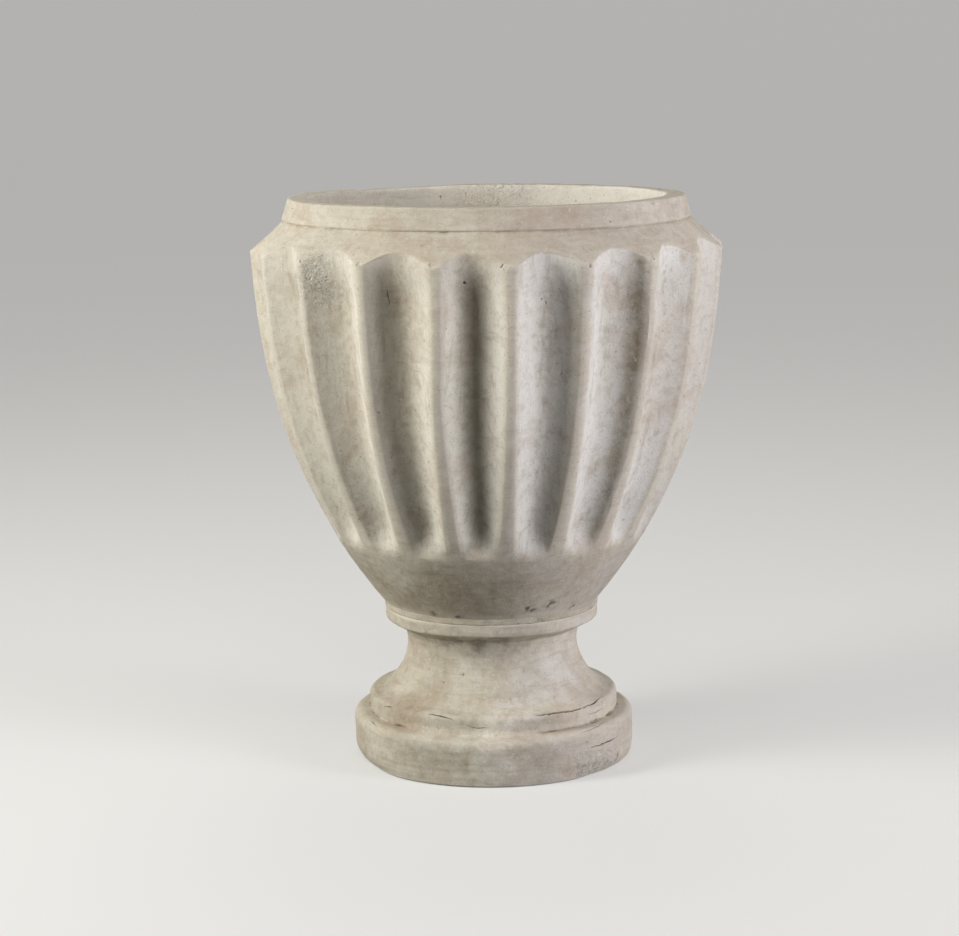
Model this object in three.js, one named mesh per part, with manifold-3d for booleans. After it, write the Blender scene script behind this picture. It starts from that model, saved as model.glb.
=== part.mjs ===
// A fluted garden urn: a cast bowl on a cast foot, bedded in mortar and held by one tie rod.
// Millimetres, +Z up. The origin is the middle of the foot's underside.
import * as THREE from "three";
import { mergeVertices } from "three/addons/utils/BufferGeometryUtils.js";
import Module from "manifold-3d";

const wasm = await Module();
wasm.setup();

// Foot, from the ground up
const PLINTH_RADIUS = 143;
const PLINTH_HEIGHT = 48;
const PLINTH_TOP_ROUND = 9;
const PLINTH_EDGE_ROUND = 3;
const TORUS_SETBACK = 16;
const TORUS_HEIGHT = 20;
const TORUS_ROUND = 6;
const TORUS_ROOT = 1.5;
const SCOTIA_HEIGHT = 48;
const NECK_RADIUS = 86.5;
const NECK_HEIGHT = 18;
const NECK_FLARE = 3.5;
const COLLAR_PROJECTION = 22;
const COLLAR_HEIGHT = 22.5;
const COLLAR_ROUND = 5;
const COLLAR_FACE = 8.5;

// Handles of the neck's curve, as shares of its spread and rise, from the torus up
const SCOTIA_HANDLE_SHARES = [[0.57, 0.05], [0.1, 0.42]];

// Hollow of the foot
const BORE_RADIUS = 50;
const HOLLOW_DEPTH = 50;
const HOLLOW_DRAFT = 6;

// Joint of foot and bowl
const MORTAR_THICKNESS = 3.5;
const MORTAR_SETBACK = 0.6;
const BOWL_SETBACK = 1;
const SPIGOT_DEPTH = 14;
const SPIGOT_CLEARANCE = 2;

// Bowl, from the joint up
const BELLY_HEIGHT = 361;
const SHOULDER_HEIGHT = 29;
const SHOULDER_PROJECTION = 32.5;
const RIM_HEIGHT = 22;
const RIM_BATTER = 5.5;
const RIM_QUIRK = 1.6;
const LIP_WIDTH = 21;
const LIP_ROUND = 2.5;
const MOUTH_RADIUS = 178;
const MOUTH_DRAFT = 8;
const WALL = 45;
const FLOOR_THICKNESS = 48;
const FLOOR_CORNER = 34;

// The belly swells fast at the joint and runs nearly upright at the shoulder
const BELLY_TAPER_SHARE = 0.18;
const BELLY_POWER = 2.52;

// How far the shoulder's slope sags below a straight line
const SHOULDER_SAG_SHARE = 0.12;

// Flutes
const FLUTE_COUNT = 20;
const FLUTE_TURN = THREE.MathUtils.degToRad(5.3);
const FLUTE_DEPTH = 23;
const FLUTE_CREST_DEPTH = 15;
const FLUTE_CREST_LENGTH = 45;
const FLUTE_STOP = 60;
const FLUTE_END_LENGTH = 26;
const ARRIS_WIDTH = 4.5;
const CUTTER_OVERRUN = 20;

// The power that shapes a flute's section: 0.5 is half an ellipse and 1 a parabola
const FLUTE_SECTION_POWER = 0.75;

// Tie rod and its fixings
const ROD_DIAMETER = 12;
const ROD_CHAMFER = 1;
const ROD_STAND = 7;
const ROD_HOLE_CLEARANCE = 1.5;
const THREAD_CLEARANCE = 0.3;
const NUT_WIDTH = 19;
const NUT_HEIGHT = 10.8;
const NUT_CHAMFER = 1.2;
const UPPER_WASHER_RADIUS = 22;
const UPPER_WASHER_THICKNESS = 3;
const GASKET_MARGIN = 2;
const GASKET_THICKNESS = 3;
const LOWER_WASHER_RADIUS = 12;
const LOWER_WASHER_THICKNESS = 2.5;
const WASHER_CLEARANCE = 0.5;
const DRAIN_COUNT = 4;
const DRAIN_DIAMETER = 12;
const BAR_WIDTH = 32;
const BAR_THICKNESS = 8;
const BAR_BEARING = 25;
const BAR_END_CLEARANCE = 15;
const BAR_CORNER = 4;

// Fineness of the facets
const TURNED_SEGMENTS = 64;
const INSIDE_SEGMENTS = 48;
const SMALL_SEGMENTS = 24;
const ROUND_STEPS = 3;
const CURVE_STEPS = 7;
const WALL_STEPS = 8;
const BELLY_STEPS = 3;
const FLUTE_ARC_STEPS = 6;
const FLUTE_END_STEPS = 4;
const FLUTE_STEPS = 7;
const SHOULDER_STEPS = 2;

// Levels and radii that follow from the sizes above
const torusTop = PLINTH_HEIGHT + TORUS_HEIGHT;
const neckLevel = torusTop + SCOTIA_HEIGHT;
const collarUnderside = neckLevel + NECK_HEIGHT;
const footTop = collarUnderside + COLLAR_HEIGHT;
const bowlBase = footTop + MORTAR_THICKNESS;
const noseLevel = bowlBase + BELLY_HEIGHT;
const rimBase = noseLevel + SHOULDER_HEIGHT;
const rimTop = rimBase + RIM_HEIGHT;
const floorLevel = bowlBase + FLOOR_THICKNESS;
const spigotLevel = bowlBase - SPIGOT_DEPTH;
const fluteStop = bowlBase + FLUTE_STOP;
const fluteEndTop = fluteStop + FLUTE_END_LENGTH;
const torusRadius = PLINTH_RADIUS - TORUS_SETBACK;
const collarRadius = NECK_RADIUS + COLLAR_PROJECTION;
const bellyBaseRadius = collarRadius - BOWL_SETBACK;
const rimTopRadius = MOUTH_RADIUS + LIP_WIDTH;
const rimBaseRadius = rimTopRadius + RIM_BATTER;
const noseRadius = rimBaseRadius + SHOULDER_PROJECTION;
const quirkRadius = rimBaseRadius - RIM_QUIRK;
const spigotRadius = BORE_RADIUS - SPIGOT_CLEARANCE;
const rodRadius = ROD_DIAMETER / 2;
const rodHoleRadius = rodRadius + ROD_HOLE_CLEARANCE;
const gasketRadius = UPPER_WASHER_RADIUS + GASKET_MARGIN;
const barLength = 2 * (BORE_RADIUS + BAR_BEARING);
const hollowTopRadius = barLength / 2 + BAR_END_CLEARANCE;
const upperWasherLevel = floorLevel + GASKET_THICKNESS;
const upperNutLevel = upperWasherLevel + UPPER_WASHER_THICKNESS;
const barLevel = HOLLOW_DEPTH - BAR_THICKNESS;
const lowerWasherLevel = barLevel - LOWER_WASHER_THICKNESS;
const lowerNutLevel = lowerWasherLevel - NUT_HEIGHT;

const point = (radius, height) => new THREE.Vector2(radius, height);

// Even shares from 0 to 1.
const steps = (count) => Array.from({ length: count + 1 }, (_, index) => index / count);

// A quarter turn or less of a round edge about a centre, between two angles in degrees.
function roundEdge(centreRadius, centreHeight, radius, fromDegrees, toDegrees) {
  const from = THREE.MathUtils.degToRad(fromDegrees);
  const to = THREE.MathUtils.degToRad(toDegrees);
  const clockwise = to < from;
  const curve = new THREE.EllipseCurve(
    centreRadius, centreHeight, radius, radius, from, to, clockwise);
  return curve.getPoints(ROUND_STEPS);
}

// A closed profile of radius and height, listed anticlockwise, turned round the upright axis.
function turned(profile, segments) {
  return new THREE.LatheGeometry(profile, segments).rotateX(Math.PI / 2);
}

// A solid that joins rings of as many points each, listed from the lowest ring up.
function lofted(rings) {
  const count = rings[0].length;
  const triangles = [];
  for (let ring = 0; ring + 1 < rings.length; ring += 1) {
    for (let side = 0; side < count; side += 1) {
      const a = ring * count + side;
      const b = ring * count + (side + 1) % count;
      triangles.push(a, b, b + count, a, b + count, a + count);
    }
  }
  const top = (rings.length - 1) * count;
  for (let side = 1; side + 1 < count; side += 1) {
    triangles.push(0, side + 1, side);
    triangles.push(top, top + side, top + side + 1);
  }
  return new THREE.BufferGeometry().setFromPoints(rings.flat()).setIndex(triangles);
}

function solidOf(geometry) {
  geometry.deleteAttribute("normal");
  geometry.deleteAttribute("uv");
  const merged = mergeVertices(geometry);
  return new wasm.Manifold(new wasm.Mesh({
    numProp: 3,
    vertProperties: merged.attributes.position.array,
    triVerts: new Uint32Array(merged.index.array),
  }));
}

function geometryOf(solid) {
  const mesh = solid.getMesh();
  const geometry = new THREE.BufferGeometry();
  geometry.setAttribute("position", new THREE.BufferAttribute(mesh.vertProperties, mesh.numProp));
  geometry.setIndex(new THREE.BufferAttribute(mesh.triVerts, 1));
  geometry.computeVertexNormals();
  return geometry;
}

// Radius of the belly over the arrises. Above the shoulder's nose it stays that of the nose.
function bellyRadius(height) {
  const rise = THREE.MathUtils.clamp((height - bowlBase) / BELLY_HEIGHT, 0, 1);
  const swell = 1 - (1 - rise) ** BELLY_POWER;
  const share = BELLY_TAPER_SHARE * rise + (1 - BELLY_TAPER_SHARE) * swell;
  return bellyBaseRadius + (noseRadius - bellyBaseRadius) * share;
}

// Radius of the bowl's inside: the wall follows the belly up to the drawn-in mouth.
function insideRadius(height) {
  const rise = (rimTop - height) / (rimTop - floorLevel);
  return Math.min(MOUTH_RADIUS - MOUTH_DRAFT * rise, bellyRadius(height) - WALL);
}

// Radius of the shoulder's slope, from the nose in to the quirk under the rim.
function shoulderRadius(height) {
  const rise = (height - noseLevel) / SHOULDER_HEIGHT;
  const inward = rise + SHOULDER_SAG_SHARE * rise * (1 - rise);
  return noseRadius - (noseRadius - quirkRadius) * inward;
}

// The height at which the shoulder's slope has come in by a depth: the sag makes it a quadratic.
function shoulderLevel(depth) {
  const inward = depth / (noseRadius - quirkRadius);
  const slope = 1 + SHOULDER_SAG_SHARE;
  const root = Math.sqrt(slope ** 2 - 4 * SHOULDER_SAG_SHARE * inward);
  return noseLevel + SHOULDER_HEIGHT * (slope - root) / (2 * SHOULDER_SAG_SHARE);
}

// The hollow of the bowl, open through the lip.
function bowlHollow() {
  const cornerTop = floorLevel + FLOOR_CORNER;
  const cornerRadius = insideRadius(cornerTop) - FLOOR_CORNER;
  const sides = steps(WALL_STEPS).slice(1, -1)
    .map((share) => THREE.MathUtils.lerp(cornerTop, rimTop - LIP_ROUND, share));
  const profile = [
    point(0, floorLevel),
    ...roundEdge(cornerRadius, cornerTop, FLOOR_CORNER, -90, 0),
    ...sides.map((level) => point(insideRadius(level), level)),
    point(MOUTH_RADIUS, rimTop - LIP_ROUND),
    point(MOUTH_RADIUS + LIP_ROUND, rimTop),
    point(MOUTH_RADIUS + LIP_ROUND, rimTop + CUTTER_OVERRUN),
    point(0, rimTop + CUTTER_OVERRUN),
  ];
  return solidOf(turned(profile, INSIDE_SEGMENTS));
}

// Depth of a flute at a height, at a place across it that runs from -1 to 1. The lower end is
// rounded like a spoon, and the floor eases out towards the crest.
function fluteDepth(across, height) {
  const below = Math.max(0, (fluteEndTop - height) / FLUTE_END_LENGTH);
  const scoop = Math.max(0, 1 - across ** 2 - below ** 2) ** FLUTE_SECTION_POWER;
  const crest = THREE.MathUtils.smoothstep(height, noseLevel - FLUTE_CREST_LENGTH, noseLevel);
  return scoop * THREE.MathUtils.lerp(FLUTE_DEPTH, FLUTE_CREST_DEPTH, crest);
}

// The outline of the bowl's outside where it stands at a place across a flute, from the
// spigot's edge up to the lip.
function bowlOutline(across) {
  const { lerp } = THREE.MathUtils;
  const stop = fluteEndTop - FLUTE_END_LENGTH * Math.sqrt(1 - across ** 2);
  const plainTop = fluteStop - FLUTE_END_LENGTH / 4;
  const spoonTop = fluteEndTop + FLUTE_END_LENGTH / 2;
  const crest = shoulderLevel(FLUTE_CREST_DEPTH * (1 - across ** 2) ** FLUTE_SECTION_POWER);
  const fluted = (height) => point(bellyRadius(height) - fluteDepth(across, height), height);
  return [
    point(spigotRadius, spigotLevel),
    point(spigotRadius, bowlBase),
    ...steps(BELLY_STEPS).map((share) => lerp(bowlBase, plainTop, share))
      .map((height) => point(bellyRadius(height), height)),
    point(bellyRadius(stop), stop),
    ...steps(FLUTE_END_STEPS).slice(1).map((share) => fluted(lerp(stop, spoonTop, share ** 2))),
    ...steps(FLUTE_STEPS).slice(1).map((share) => fluted(lerp(spoonTop, crest, share))),
    ...steps(SHOULDER_STEPS).slice(1).map((share) => lerp(crest, rimBase, share))
      .map((height) => point(shoulderRadius(height), height)),
    point(rimBaseRadius, rimBase),
    point(rimTopRadius, rimTop - LIP_ROUND),
    ...roundEdge(rimTopRadius - LIP_ROUND, rimTop - LIP_ROUND, LIP_ROUND, 0, 90).slice(1),
  ];
}

// The bowl's outside as a solid, with the columns of each flute between its two arrises.
function bowlBody() {
  const places = steps(FLUTE_ARC_STEPS).map((share) => -Math.cos(Math.PI * share));
  const columns = [];
  for (let flute = 0; flute < FLUTE_COUNT; flute += 1) {
    const middle = FLUTE_TURN + 2 * Math.PI * (flute + 1 / 2) / FLUTE_COUNT;
    for (const across of places) {
      columns.push(bowlOutline(across).map(({ x: radius, y: height }) => {
        const spread = Math.PI / FLUTE_COUNT - ARRIS_WIDTH / 2 / bellyRadius(height);
        const angle = middle + across * spread;
        return new THREE.Vector3(radius * Math.sin(angle), -radius * Math.cos(angle), height);
      }));
    }
  }
  const rings = columns[0].map((_, level) => columns.map((column) => column[level]));
  return solidOf(lofted(rings));
}

function bowl() {
  let made = bowlBody().subtract(bowlHollow());
  const drainCircle = (gasketRadius + spigotRadius) / 2;
  made = made.subtract(floorHole(rodHoleRadius, 0, 0));
  for (let index = 0; index < DRAIN_COUNT; index += 1) {
    const angle = 2 * Math.PI * (index + 1 / 2) / DRAIN_COUNT;
    const across = drainCircle * Math.cos(angle);
    const along = drainCircle * Math.sin(angle);
    made = made.subtract(floorHole(DRAIN_DIAMETER / 2, across, along));
  }
  return geometryOf(made);
}

// A round tool that goes right through the bowl's floor and spigot.
function floorHole(radius, across, along) {
  const length = FLOOR_THICKNESS + SPIGOT_DEPTH + 2 * CUTTER_OVERRUN;
  const tool = new THREE.CylinderGeometry(radius, radius, length, SMALL_SEGMENTS);
  tool.rotateX(Math.PI / 2);
  tool.translate(across, along, (floorLevel + spigotLevel) / 2);
  return solidOf(tool);
}

function foot() {
  const torusEdge = torusRadius - TORUS_ROUND;
  const handles = SCOTIA_HANDLE_SHARES.map(([out, up]) => point(
    NECK_RADIUS + (torusEdge - NECK_RADIUS) * out, torusTop + SCOTIA_HEIGHT * up));
  const scotia = new THREE.CubicBezierCurve(
    point(torusEdge, torusTop), ...handles, point(NECK_RADIUS, neckLevel));
  const underCollar = point(NECK_RADIUS + NECK_FLARE, collarUnderside);
  const neck = new THREE.QuadraticBezierCurve(
    scotia.v3, point(NECK_RADIUS, neckLevel + NECK_HEIGHT / 2), underCollar);
  const plinthShoulder = PLINTH_HEIGHT - PLINTH_TOP_ROUND;
  const torusShoulder = torusTop - TORUS_ROUND;
  const profile = [
    point(hollowTopRadius + HOLLOW_DRAFT, 0),
    ...roundEdge(PLINTH_RADIUS - PLINTH_EDGE_ROUND, PLINTH_EDGE_ROUND, PLINTH_EDGE_ROUND, -90, 0),
    ...roundEdge(PLINTH_RADIUS - PLINTH_TOP_ROUND, plinthShoulder, PLINTH_TOP_ROUND, 0, 90),
    point(torusRadius - TORUS_ROOT, PLINTH_HEIGHT),
    point(torusRadius, PLINTH_HEIGHT + TORUS_ROOT),
    ...roundEdge(torusRadius - TORUS_ROUND, torusShoulder, TORUS_ROUND, 0, 90),
    ...scotia.getPoints(CURVE_STEPS).slice(1),
    ...neck.getPoints(ROUND_STEPS).slice(1),
    ...roundEdge(collarRadius - COLLAR_ROUND, footTop - COLLAR_FACE, COLLAR_ROUND, -59, 0),
    point(collarRadius, footTop),
    point(BORE_RADIUS, footTop),
    point(BORE_RADIUS, HOLLOW_DEPTH),
    point(hollowTopRadius, HOLLOW_DEPTH),
    point(hollowTopRadius + HOLLOW_DRAFT, 0),
  ];
  return turned(profile, TURNED_SEGMENTS);
}

// A flat ring or washer between two levels.
function ringBetween(bottom, top, innerRadius, outerRadius, segments) {
  const profile = [
    point(innerRadius, bottom),
    point(outerRadius, bottom),
    point(outerRadius, top),
    point(innerRadius, top),
    point(innerRadius, bottom),
  ];
  return turned(profile, segments);
}

// A flat shape given thickness between two levels.
function slab(shape, bottom, top) {
  const settings = { depth: 1, bevelEnabled: false, curveSegments: SMALL_SEGMENTS / 2 };
  const geometry = new THREE.ExtrudeGeometry(shape, settings);
  const places = geometry.attributes.position;
  for (let index = 0; index < places.count; index += 1) {
    places.setZ(index, places.getZ(index) > 0 ? top : bottom);
  }
  return geometry;
}

function roundHole(radius) {
  return new THREE.Path().absarc(0, 0, radius, 0, 2 * Math.PI, true);
}

function mortarBed() {
  const outer = collarRadius - MORTAR_SETBACK;
  return ringBetween(footTop, bowlBase, BORE_RADIUS, outer, TURNED_SEGMENTS);
}

function tieRod() {
  const bottom = lowerNutLevel - ROD_STAND;
  const top = upperNutLevel + NUT_HEIGHT + ROD_STAND;
  const profile = [
    point(0, bottom),
    point(rodRadius - ROD_CHAMFER, bottom),
    point(rodRadius, bottom + ROD_CHAMFER),
    point(rodRadius, top - ROD_CHAMFER),
    point(rodRadius - ROD_CHAMFER, top),
    point(0, top),
  ];
  return turned(profile, SMALL_SEGMENTS);
}

function hexagonNut(bottom) {
  const top = bottom + NUT_HEIGHT;
  const cornerRadius = NUT_WIDTH / Math.sqrt(3);
  const corners = [];
  for (let corner = 0; corner < 6; corner += 1) {
    const angle = Math.PI * corner / 3;
    corners.push(point(cornerRadius * Math.cos(angle), cornerRadius * Math.sin(angle)));
  }
  const hexagon = new THREE.Shape(corners);
  hexagon.holes.push(roundHole(rodRadius + THREAD_CLEARANCE));
  const flatRadius = cornerRadius - 2 * NUT_CHAMFER;
  const chamfered = turned([
    point(0, bottom),
    point(flatRadius, bottom),
    point(cornerRadius + NUT_CHAMFER, bottom + NUT_CHAMFER * Math.sqrt(3)),
    point(cornerRadius + NUT_CHAMFER, top - NUT_CHAMFER * Math.sqrt(3)),
    point(flatRadius, top),
    point(0, top),
  ], SMALL_SEGMENTS);
  return geometryOf(solidOf(slab(hexagon, bottom, top)).intersect(solidOf(chamfered)));
}

function crossBar() {
  const x = barLength / 2;
  const y = BAR_WIDTH / 2;
  const bar = new THREE.Shape();
  bar.absarc(x - BAR_CORNER, BAR_CORNER - y, BAR_CORNER, -Math.PI / 2, 0);
  bar.absarc(x - BAR_CORNER, y - BAR_CORNER, BAR_CORNER, 0, Math.PI / 2);
  bar.absarc(BAR_CORNER - x, y - BAR_CORNER, BAR_CORNER, Math.PI / 2, Math.PI);
  bar.absarc(BAR_CORNER - x, BAR_CORNER - y, BAR_CORNER, Math.PI, 1.5 * Math.PI);
  bar.holes.push(roundHole(rodRadius + WASHER_CLEARANCE));
  return slab(bar, barLevel, HOLLOW_DEPTH);
}

const stone = { color: 0xcfc8ba, roughness: 0.92, metalness: 0 };
const mortar = { color: 0xa39a88, roughness: 0.95, metalness: 0 };
const steel = { color: 0x9a9c9e, roughness: 0.45, metalness: 0.9 };
const rubber = { color: 0x232323, roughness: 0.8, metalness: 0 };

const urn = new THREE.Group();

function add(name, geometry, finish) {
  const piece = new THREE.Mesh(geometry, new THREE.MeshStandardMaterial(finish));
  piece.name = name;
  urn.add(piece);
}

const washerBore = rodRadius + WASHER_CLEARANCE;
add("foot", foot(), stone);
add("mortar_bed", mortarBed(), mortar);
add("bowl", bowl(), stone);
add("tie_rod", tieRod(), steel);
add("upper_gasket",
  ringBetween(floorLevel, upperWasherLevel, washerBore, gasketRadius, SMALL_SEGMENTS), rubber);
add("upper_washer",
  ringBetween(upperWasherLevel, upperNutLevel, washerBore, UPPER_WASHER_RADIUS, SMALL_SEGMENTS), steel);
add("upper_nut", hexagonNut(upperNutLevel), steel);
add("cross_bar", crossBar(), steel);
add("lower_washer",
  ringBetween(lowerWasherLevel, barLevel, washerBore, LOWER_WASHER_RADIUS, SMALL_SEGMENTS), steel);
add("lower_nut", hexagonNut(lowerNutLevel), steel);

export default urn;
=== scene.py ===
"""The looks of a cast-stone garden urn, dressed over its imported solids. Metres, +Z up, front on -Y."""

import math

import bmesh
import bpy
import numpy as np
from mathutils import Matrix, Vector, bvhtree, kdtree, noise


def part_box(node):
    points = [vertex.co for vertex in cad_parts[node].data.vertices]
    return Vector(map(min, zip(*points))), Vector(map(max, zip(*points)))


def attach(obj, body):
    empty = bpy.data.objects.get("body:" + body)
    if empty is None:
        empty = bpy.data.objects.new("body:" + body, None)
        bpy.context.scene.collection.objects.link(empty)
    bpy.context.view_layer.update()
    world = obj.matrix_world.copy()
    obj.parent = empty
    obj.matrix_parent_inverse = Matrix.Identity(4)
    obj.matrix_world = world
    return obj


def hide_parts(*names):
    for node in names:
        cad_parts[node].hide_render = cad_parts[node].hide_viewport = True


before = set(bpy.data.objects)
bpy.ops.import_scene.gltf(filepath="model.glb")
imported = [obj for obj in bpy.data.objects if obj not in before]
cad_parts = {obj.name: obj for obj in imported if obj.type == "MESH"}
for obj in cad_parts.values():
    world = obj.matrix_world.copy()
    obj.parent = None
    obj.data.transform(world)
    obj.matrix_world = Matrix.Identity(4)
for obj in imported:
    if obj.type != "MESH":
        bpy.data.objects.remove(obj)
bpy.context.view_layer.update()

MM = 0.001
DOUBLED = 1e-6


def reach(node):
    """Half the width of a solid, its lowest level and its highest."""
    low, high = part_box(node)
    return (high[0] - low[0]) / 2, low[2], high[2]


# The foot
PLINTH_RADIUS, _, FOOT_TOP = reach("foot")
PLINTH_HEIGHT = 0.048
PLINTH_TOP_ROUND = 0.009
PLINTH_EDGE_ROUND = 0.003
TORUS_RADIUS = 0.127
TORUS_TOP = 0.068
TORUS_ROUND = 0.006
TORUS_ROOT = 0.0015
NECK_RADIUS = 0.0865
NECK_LEVEL = 0.116
NECK_PULLS = [(0.1062, 0.0704), (0.090, 0.0882)]
NECK_FLARE = 0.0035
COLLAR_UNDERSIDE = 0.134
COLLAR_RADIUS = 0.1085
COLLAR_ROUND = 0.003
COLLAR_FACE = 0.0112
COLLAR_SLOPE = -59
COLLAR_EDGE = 0.0012
BORE_RADIUS = 0.050
HOLLOW_TOP = 0.050
HOLLOW_TOP_RADIUS = 0.090
HOLLOW_RADIUS = 0.096
FOOT_LEAN = 0.0015
FOOT_EDGE_WORN = 0.0065
FOOT_EDGE_RISE = 0.0155
FILLET = 0.0055
SHOWN_STEP = 0.00155
HIDDEN_STEP = 0.012

# The bowl
_, SPIGOT_LEVEL, RIM_TOP = reach("bowl")
SPIGOT_RADIUS = 0.048
BOWL_BASE = 0.160
BASE_RADIUS = 0.1075
BASE_EDGE = 0.0012
BASE_SWELL = 0.0007
BELLY_HEIGHT = 0.361
BELLY_TAPER = 0.18
BELLY_POWER = 2.52
NOSE_LEVEL = BOWL_BASE + BELLY_HEIGHT
NOSE_RADIUS = 0.237
SHOULDER_HEIGHT = 0.029
SHOULDER_RUN = 0.0341
SHOULDER_SAG = 0.12
RIM_BASE = NOSE_LEVEL + SHOULDER_HEIGHT
RIM_BASE_RADIUS = 0.2045
RIM_STEP = 0.0018
RIM_SINK = 0.0015
RIM_TOP_RADIUS = 0.199
LIP_ROUND = 0.002
MOUTH_ROUND = 0.002
MOUTH_RADIUS = 0.178
MOUTH_TAPER = 0.008 / 0.364
MOUTH_DEPTH = 0.036
WALL = 0.045
FLOOR_LEVEL = 0.208
FLOOR_CORNER = 0.034
ROD_HOLE_RADIUS = 0.0075
SMALL_EDGE = 0.0015
FLUTES = 20
FLUTE_DEEPENS = 0.24
FLUTE_DEEPENING = 5.0
ARRIS_SPREAD_LEVEL = 0.44
ARRIS_SPREAD_RUN = 0.19
COLUMNS_PER_FLUTE = 22
COLUMN_CROWDING = 0.6
ROW_CROWDING = 0.4
# Rows of mesh on each leg of the bowl's outline
BOWL_ROWS = (2, 1, 1, 3, 1, 22, 106, 11, 2, 8, 3, 5, 2, 9, 8, 4, 4, 1)

# The joint between them
MORTAR_LOW = 0.1566
MORTAR_HIGH = 0.1599
MORTAR_REACH = 0.1050
MORTAR_GAP = 0.0012
JOINT_OUTLINE = [(0.1080, 0.1554), (0.1087, 0.1562), (0.1089, 0.1580), (0.1089, 0.1602), (0.1091, 0.1622)]


def tone(red, green, blue):
    """A colour from 0 to 255 a channel, as the nodes want it."""
    shares = [channel / 255 for channel in (red, green, blue)]
    return [s / 12.92 if s <= 0.04045 else ((s + 0.055) / 1.055) ** 2.4 for s in shares] + [1.0]


def put(tree, slot, value):
    """Links a socket to the slot, or sets the slot to a value."""
    if isinstance(value, bpy.types.NodeSocket):
        tree.links.new(value, slot)
    else:
        slot.default_value = value


def add_node(tree, kind, inputs=(), output=0, **settings):
    """One output of a new node, or all if it is None. The inputs are sockets to link or values to set."""
    made = tree.nodes.new(kind)
    for name, value in settings.items():
        setattr(made, name, value)
    for name, value in dict(inputs).items():
        put(tree, made.inputs[name], value)
    return made.outputs if output is None else made.outputs[output]


def placed(name, data):
    """A new object with that mesh, lamp or camera, in the scene."""
    piece = bpy.data.objects.new(name, data)
    bpy.context.collection.objects.link(piece)
    return piece


def formed(name, work, finish):
    """A new object with the mesh that work holds."""
    bmesh.ops.recalc_face_normals(work, faces=work.faces)
    mesh = bpy.data.meshes.new(name)
    work.to_mesh(mesh)
    work.free()
    mesh.materials.append(finish)
    return placed(name, mesh)


# Finishes


class Finish:
    """One material, whose nodes are added by short calls."""

    def __init__(self, name):
        self.material = bpy.data.materials.new(name)
        self.material.use_nodes = True
        self.tree = self.material.node_tree
        self.surface = self.tree.nodes["Principled BSDF"]
        self.place = self.node("ShaderNodeTexCoord", output="Object")

    def node(self, kind, inputs=(), output=0, **settings):
        return add_node(self.tree, kind, inputs, output, **settings)

    def stretched(self, x, y, z):
        """The place on the piece with its axes scaled, which draws a pattern out along one of them."""
        return self.node("ShaderNodeMapping", {"Vector": self.place, "Scale": (x, y, z)})

    def cloud(self, scale, detail=4.0, rough=0.55, warp=0.0, place=None):
        inputs = {"Vector": place or self.place, "Scale": scale, "Detail": detail}
        inputs |= {"Roughness": rough, "Distortion": warp}
        return self.node("ShaderNodeTexNoise", inputs)

    def cells(self, scale):
        return self.node("ShaderNodeTexVoronoi", {"Vector": self.place, "Scale": scale}, "Distance")

    def spread(self, value, low, high, bottom=0.0, top=1.0):
        """value from low to high, drawn out smoothly to the range from bottom to top."""
        inputs = {0: value, 1: low, 2: high, 3: bottom, 4: top}
        return self.node("ShaderNodeMapRange", inputs, interpolation_type="SMOOTHSTEP")

    def sum(self, operation, first, second=0.0):
        return self.node("ShaderNodeMath", {0: first, 1: second}, operation=operation)

    def times(self, first, second):
        return self.sum("MULTIPLY", first, second)

    def blend(self, share, first, second):
        """The first colour, with that share of the second."""
        return self.node("ShaderNodeMix", {0: share, 6: first, 7: second}, 2, data_type="RGBA")

    def laid(self, colour, pattern, low, high, most, tint):
        """colour with a tint laid on by up to most, where the pattern goes from low to high."""
        return self.blend(self.spread(pattern, low, high, 0.0, most), colour, tint)

    def measure(self, name):
        """A mark that was noted on the piece's corners."""
        return self.node("ShaderNodeAttribute", (), "Fac", attribute_name=name)

    def relief(self, height, depth, strength=1.0, over=None):
        inputs = {"Height": height, "Distance": depth, "Strength": strength}
        if over:
            inputs["Normal"] = over
        return self.node("ShaderNodeBump", inputs)

    def set(self, **sockets):
        """Sets or links sockets of the surface, their names written with _ for a space."""
        for name, value in sockets.items():
            put(self.tree, self.surface.inputs[name.replace("_", " ")], value)
        return self.material


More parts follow.
